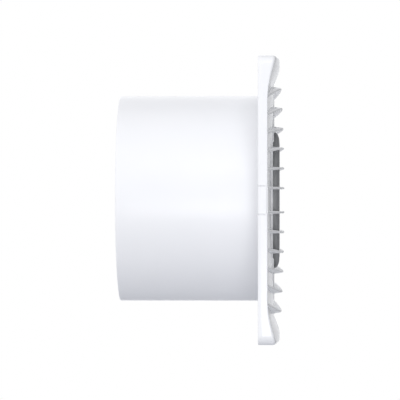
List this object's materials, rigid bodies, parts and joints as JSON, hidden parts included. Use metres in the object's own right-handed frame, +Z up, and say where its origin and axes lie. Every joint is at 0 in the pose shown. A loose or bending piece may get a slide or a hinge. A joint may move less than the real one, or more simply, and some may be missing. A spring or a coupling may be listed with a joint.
{
  "type": "bathroom extractor fan",
  "caption": "Square wall extractor fan with a round duct spigot, a bowed slatted cover and an axial impeller.",
  "frame": {"origin": "on the duct axis, in the wall face at the back of the plate", "axes": "+Y along the duct spigot into the wall, -Y into the room, +Z up"},
  "size_m": [0.167, 0.0993, 0.167],
  "materials": {
    "white_plastic": "moulded, soft gloss",
    "disc_plastic": "moulded, satin grey",
    "screen_mesh": "woven mesh",
    "terminal_plastic": "moulded",
    "zinc_steel": "zinc plated",
    "grommet_rubber": "matt",
    "lamination_steel": "stamped sheets",
    "copper": "enamelled copper",
    "bobbin_plastic": "moulded nylon",
    "cast_aluminium": "die cast",
    "ground_steel": "ground",
    "sintered_bronze": "sintered",
    "fuse_plastic": "moulded",
    "impeller_plastic": "moulded",
    "lead_brown": "wire insulation",
    "lead_blue": "wire insulation"
  },
  "bodies": {
    "housing": {"back_plate": "white_plastic", "duct_spigot": "white_plastic", "terminal_block": "terminal_plastic", "terminal_screws": "zinc_steel", "wiring_cover": "white_plastic", "wiring_cover_screw": "zinc_steel", "cable_clamp": "white_plastic", "clamp_screws": "zinc_steel", "cable_grommet": "grommet_rubber", "stator_core": "lamination_steel", "shading_rings": "copper", "coil_bobbins": "bobbin_plastic", "coil_windings": "copper", "front_bearing": "sintered_bronze", "rear_bearing": "sintered_bronze", "front_bracket": "cast_aluminium", "rear_bracket": "cast_aluminium", "motor_screws": "zinc_steel", "thermal_fuse": "fuse_plastic", "motor_cradle": "white_plastic", "cradle_screws": "zinc_steel", "motor_lead_live": "lead_brown", "motor_lead_neutral": "lead_blue"},
    "cover": {"cover_frame": "white_plastic", "slat_grille": "white_plastic", "centre_disc": "disc_plastic", "screen_frame": "white_plastic", "insect_screen": "screen_mesh"},
    "rotor": {"impeller": "impeller_plastic", "impeller_washer": "zinc_steel", "impeller_nut": "zinc_steel", "motor_shaft": "ground_steel", "rotor_core": "lamination_steel", "rotor_end_rings": "cast_aluminium"}
  },
  "joints": [
    {"name": "impeller_spin", "type": "hinge", "parent": "housing", "child": "rotor", "pos_m": [0, 0, 0], "axis": [0, 1, 0], "continuous": true},
    {"name": "cover_pull", "type": "slide", "parent": "housing", "child": "cover", "axis": [0, -1, 0], "range_m": [0, 0.06]}
  ]
}
